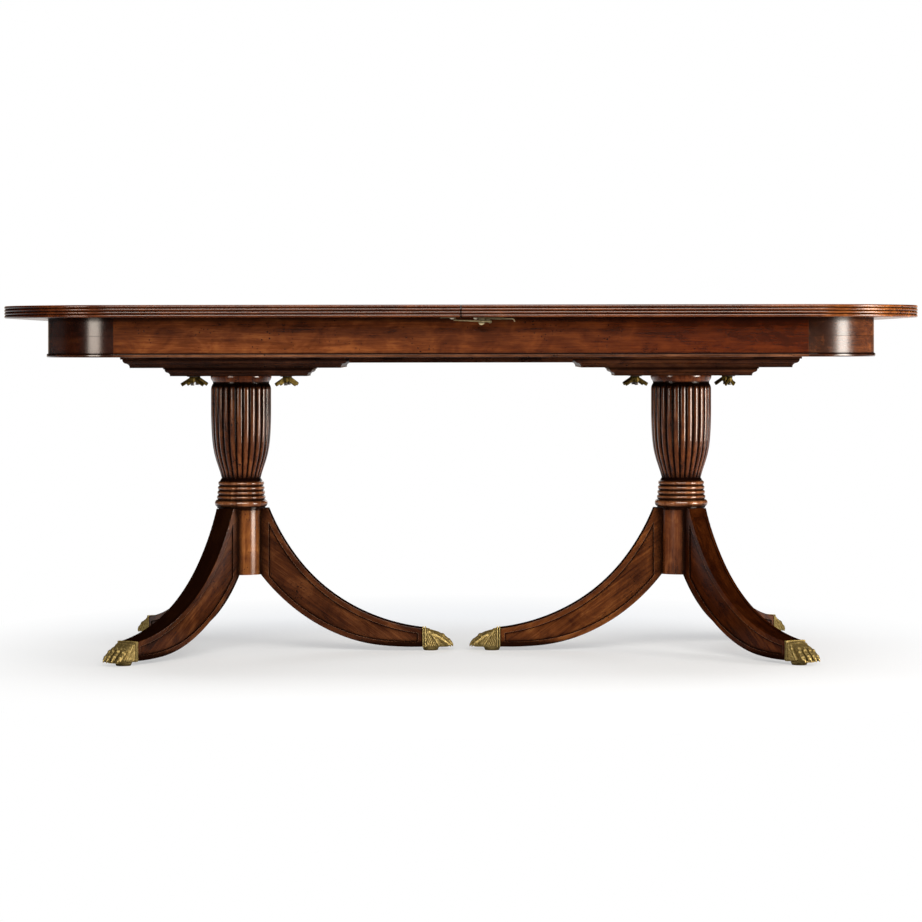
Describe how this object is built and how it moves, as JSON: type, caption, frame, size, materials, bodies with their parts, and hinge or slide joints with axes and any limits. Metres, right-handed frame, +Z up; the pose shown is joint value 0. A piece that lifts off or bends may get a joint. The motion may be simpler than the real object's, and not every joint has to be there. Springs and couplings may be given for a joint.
{
  "type": "double pedestal dining table",
  "caption": "Extending dining table: rounded reed-edged top in sliding halves over a beaded apron, on reeded vase pedestals with sabre legs and brass paw feet.",
  "frame": {"origin": "on the floor below the middle of the top", "axes": "+X along the length to the right, +Y across the table to the back, +Z up"},
  "size_m": [1.965, 1.12, 0.77],
  "materials": {
    "top_mahogany": "gloss polish",
    "apron_mahogany": "gloss polish",
    "pedestal_mahogany": "satin polish",
    "inner_hardwood": "plain sealed",
    "antique_brass": "aged",
    "steel": "dull zinc"
  },
  "bodies": {
    "frame": {"apron_dowels": "inner_hardwood", "back_apron_rail": "apron_mahogany", "back_guide": "inner_hardwood", "back_left_corner": "apron_mahogany", "back_right_corner": "apron_mahogany", "bearer_stops": "inner_hardwood", "bolt_washers": "steel", "cross_rails": "inner_hardwood", "end_beads": "apron_mahogany", "floor_pads": "antique_brass", "frame_screws": "steel", "front_apron_rail": "apron_mahogany", "front_guide": "inner_hardwood", "front_left_corner": "apron_mahogany", "front_right_corner": "apron_mahogany", "left_apron_rail": "apron_mahogany", "left_back_leg": "pedestal_mahogany", "left_back_paw": "antique_brass", "left_column": "pedestal_mahogany", "left_front_leg": "pedestal_mahogany", "left_front_paw": "antique_brass", "left_head_board": "pedestal_mahogany", "left_inner_leg": "pedestal_mahogany", "left_inner_paw": "antique_brass", "left_plinth_board": "pedestal_mahogany", "pedestal_bolts": "steel", "rail_beads": "apron_mahogany", "right_apron_rail": "apron_mahogany", "right_back_leg": "pedestal_mahogany", "right_back_paw": "antique_brass", "right_column": "pedestal_mahogany", "right_front_leg": "pedestal_mahogany", "right_front_paw": "antique_brass", "right_head_board": "pedestal_mahogany", "right_inner_leg": "pedestal_mahogany", "right_inner_paw": "antique_brass", "right_plinth_board": "pedestal_mahogany", "tie_board": "pedestal_mahogany"},
    "left_top": {"left_top_panel": "top_mahogany", "left_bearers": "inner_hardwood", "left_top_screws": "steel", "latch_keepers": "antique_brass"},
    "right_top": {"right_top_panel": "top_mahogany", "right_bearers": "inner_hardwood", "right_top_screws": "steel", "edge_dowels": "inner_hardwood", "latch_bases": "antique_brass", "latch_pins": "antique_brass"},
    "front_latch_lever": {"front_latch_lever": "antique_brass"},
    "front_latch_bail": {"front_latch_bail": "antique_brass"},
    "back_latch_lever": {"back_latch_lever": "antique_brass"},
    "back_latch_bail": {"back_latch_bail": "antique_brass"},
    "left_front_outer_wing_nut": {"left_front_outer_wing_nut": "antique_brass"},
    "left_front_inner_wing_nut": {"left_front_inner_wing_nut": "antique_brass"},
    "left_back_outer_wing_nut": {"left_back_outer_wing_nut": "antique_brass"},
    "left_back_inner_wing_nut": {"left_back_inner_wing_nut": "antique_brass"},
    "right_front_outer_wing_nut": {"right_front_outer_wing_nut": "antique_brass"},
    "right_front_inner_wing_nut": {"right_front_inner_wing_nut": "antique_brass"},
    "right_back_outer_wing_nut": {"right_back_outer_wing_nut": "antique_brass"},
    "right_back_inner_wing_nut": {"right_back_inner_wing_nut": "antique_brass"}
  },
  "joints": [
    {"name": "left_top_slide", "type": "slide", "parent": "frame", "child": "left_top", "axis": [-1, 0, 0], "range_m": [0, 0.228]},
    {"name": "right_top_slide", "type": "slide", "parent": "frame", "child": "right_top", "axis": [1, 0, 0], "range_m": [0, 0.228]},
    {"name": "front_latch_turn", "type": "hinge", "parent": "right_top", "child": "front_latch_lever", "pos_m": [0.043, -0.51536, 0.734], "axis": [0, 1, 0], "range_deg": [0, 150]},
    {"name": "front_bail_turn", "type": "hinge", "parent": "front_latch_lever", "child": "front_latch_bail", "pos_m": [0.061, -0.51536, 0.7345], "axis": [0, 1, 0], "range_deg": [-150, 0]},
    {"name": "back_latch_turn", "type": "hinge", "parent": "right_top", "child": "back_latch_lever", "pos_m": [0.043, 0.51536, 0.734], "axis": [0, 1, 0], "range_deg": [0, 150]},
    {"name": "back_bail_turn", "type": "hinge", "parent": "back_latch_lever", "child": "back_latch_bail", "pos_m": [0.061, 0.51536, 0.7345], "axis": [0, 1, 0], "range_deg": [-150, 0]},
    {"name": "left_front_outer_wing_nut_turn", "type": "hinge", "parent": "frame", "child": "left_front_outer_wing_nut", "pos_m": [-0.599, -0.066, 0.605], "axis": [0, 0, 1], "continuous": true},
    {"name": "left_front_inner_wing_nut_turn", "type": "hinge", "parent": "frame", "child": "left_front_inner_wing_nut", "pos_m": [-0.391, -0.066, 0.605], "axis": [0, 0, 1], "continuous": true},
    {"name": "left_back_outer_wing_nut_turn", "type": "hinge", "parent": "frame", "child": "left_back_outer_wing_nut", "pos_m": [-0.599, 0.066, 0.605], "axis": [0, 0, 1], "continuous": true},
    {"name": "left_back_inner_wing_nut_turn", "type": "hinge", "parent": "frame", "child": "left_back_inner_wing_nut", "pos_m": [-0.391, 0.066, 0.605], "axis": [0, 0, 1], "continuous": true},
    {"name": "right_front_outer_wing_nut_turn", "type": "hinge", "parent": "frame", "child": "right_front_outer_wing_nut", "pos_m": [0.599, -0.066, 0.605], "axis": [0, 0, 1], "continuous": true},
    {"name": "right_front_inner_wing_nut_turn", "type": "hinge", "parent": "frame", "child": "right_front_inner_wing_nut", "pos_m": [0.391, -0.066, 0.605], "axis": [0, 0, 1], "continuous": true},
    {"name": "right_back_outer_wing_nut_turn", "type": "hinge", "parent": "frame", "child": "right_back_outer_wing_nut", "pos_m": [0.599, 0.066, 0.605], "axis": [0, 0, 1], "continuous": true},
    {"name": "right_back_inner_wing_nut_turn", "type": "hinge", "parent": "frame", "child": "right_back_inner_wing_nut", "pos_m": [0.391, 0.066, 0.605], "axis": [0, 0, 1], "continuous": true}
  ],
  "couplings": [
    {"joint": "front_bail_turn", "follows": "front_latch_turn", "ratio": -1},
    {"joint": "back_bail_turn", "follows": "back_latch_turn", "ratio": -1}
  ]
}
